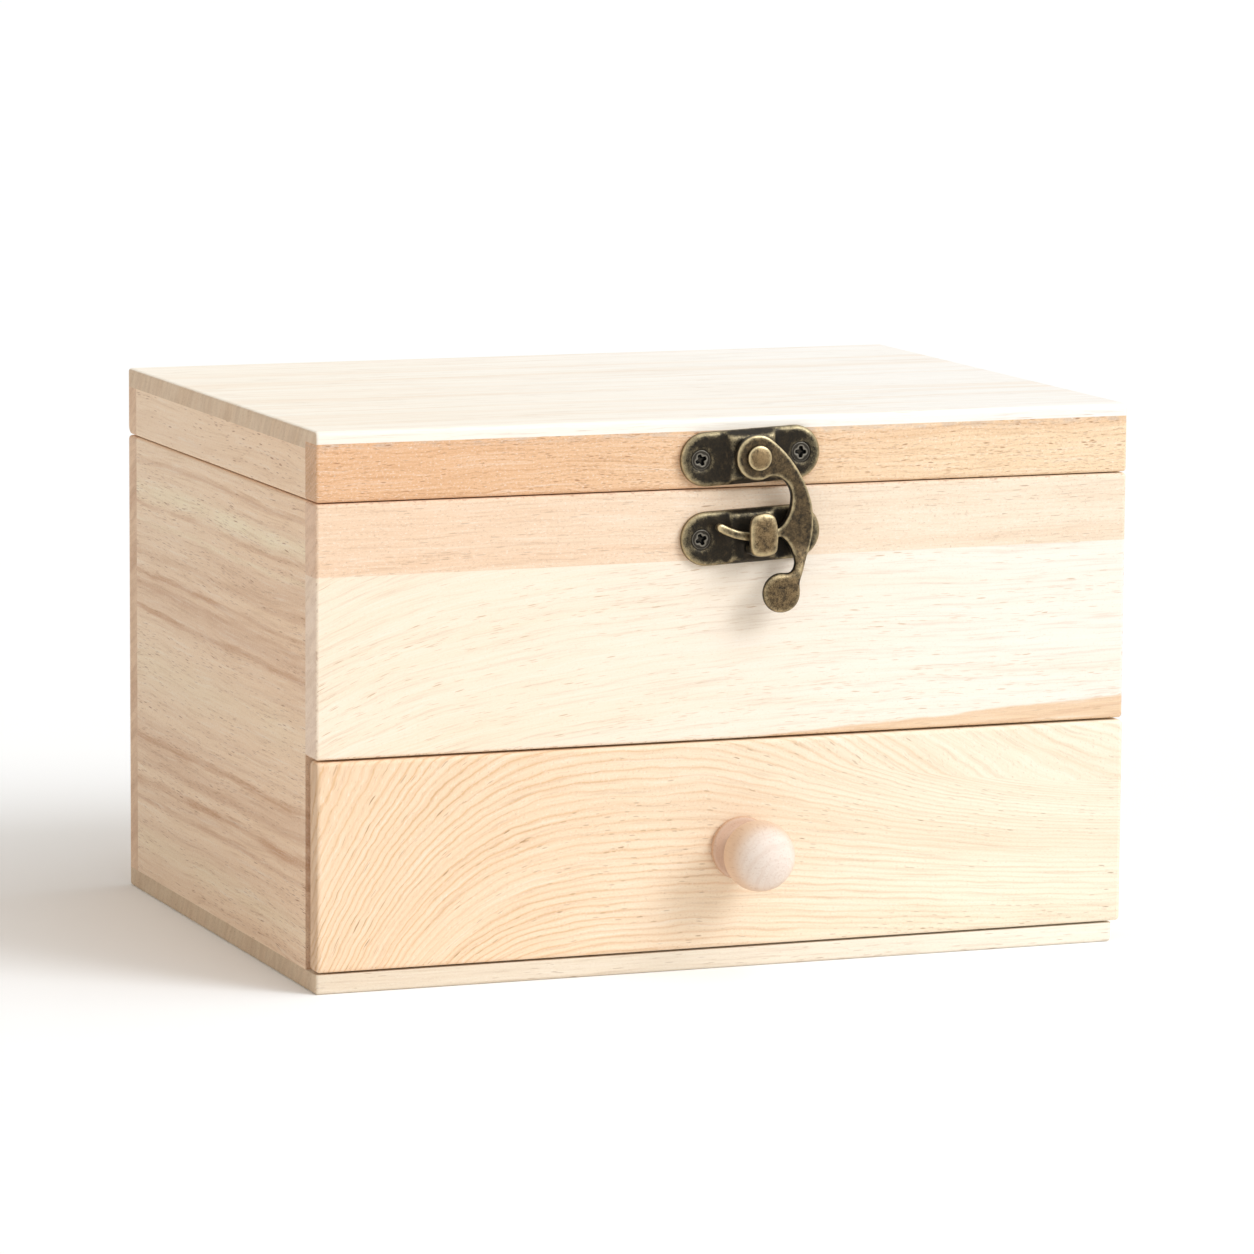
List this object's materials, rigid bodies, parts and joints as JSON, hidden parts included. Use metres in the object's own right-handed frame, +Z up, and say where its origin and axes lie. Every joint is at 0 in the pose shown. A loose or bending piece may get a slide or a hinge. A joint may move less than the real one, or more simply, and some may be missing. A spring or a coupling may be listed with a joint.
{
  "type": "wooden paint drawer box",
  "caption": "Small bare-wood box for paints: hinged lid with a swing latch over a compartment, drawer below with a turned knob.",
  "frame": {"origin": "centre of the underside, midway between the front panel's face and the back board's face", "axes": "+X to the right as seen from the front, -Y out of the front towards the user, +Z up"},
  "size_m": [0.2, 0.1714, 0.1282],
  "materials": {
    "carcass_pine": "bare sanded softwood",
    "front_pine": "bare sanded softwood",
    "rail_pine": "bare sanded softwood",
    "lid_pine": "bare sanded softwood",
    "lid_front_pine": "bare sanded softwood",
    "drawer_pine": "bare sanded softwood",
    "drawer_inner_pine": "bare sanded softwood",
    "knob_wood": "bare sanded softwood",
    "antique_bronze": "antique bronze plating, dark in the recesses and rubbed bright on the edges",
    "bronzed_screw": "dark bronzed, satin",
    "screw_steel": "zinc plated"
  },
  "bodies": {
    "box": {"base_board": "carcass_pine", "right_side_board": "carcass_pine", "left_side_board": "carcass_pine", "back_board": "carcass_pine", "front_panel": "front_pine", "front_rail": "rail_pine", "compartment_floor": "drawer_inner_pine", "keeper_plate": "antique_bronze", "keeper_screws": "bronzed_screw", "body_hinge_leaves": "antique_bronze", "hinge_pins": "antique_bronze", "body_hinge_screws": "bronzed_screw"},
    "lid": {"lid_top_board": "lid_pine", "lid_front_board": "lid_front_pine", "lid_back_board": "carcass_pine", "lid_right_board": "carcass_pine", "lid_left_board": "carcass_pine", "latch_plate": "antique_bronze", "latch_plate_screws": "bronzed_screw", "latch_pivot": "antique_bronze", "lid_hinge_leaves": "antique_bronze", "lid_hinge_screws": "bronzed_screw"},
    "hook": {"latch_hook": "antique_bronze"},
    "drawer": {"drawer_front": "drawer_pine", "drawer_right_side": "drawer_inner_pine", "drawer_left_side": "drawer_inner_pine", "drawer_back": "drawer_inner_pine", "drawer_bottom": "drawer_inner_pine", "knob": "knob_wood", "knob_screw": "screw_steel"}
  },
  "joints": [
    {"name": "lid_hinge", "type": "hinge", "parent": "box", "child": "lid", "pos_m": [0, 0.0754, 0.11195], "axis": [-1, 0, 0], "range_deg": [0, 105]},
    {"name": "latch_swing", "type": "hinge", "parent": "lid", "child": "hook", "pos_m": [0.0045, -0.0733, 0.1193], "axis": [0, -1, 0], "range_deg": [0, 100]},
    {"name": "drawer_slide", "type": "slide", "parent": "box", "child": "drawer", "axis": [0, -1, 0], "range_m": [0, 0.11]}
  ]
}
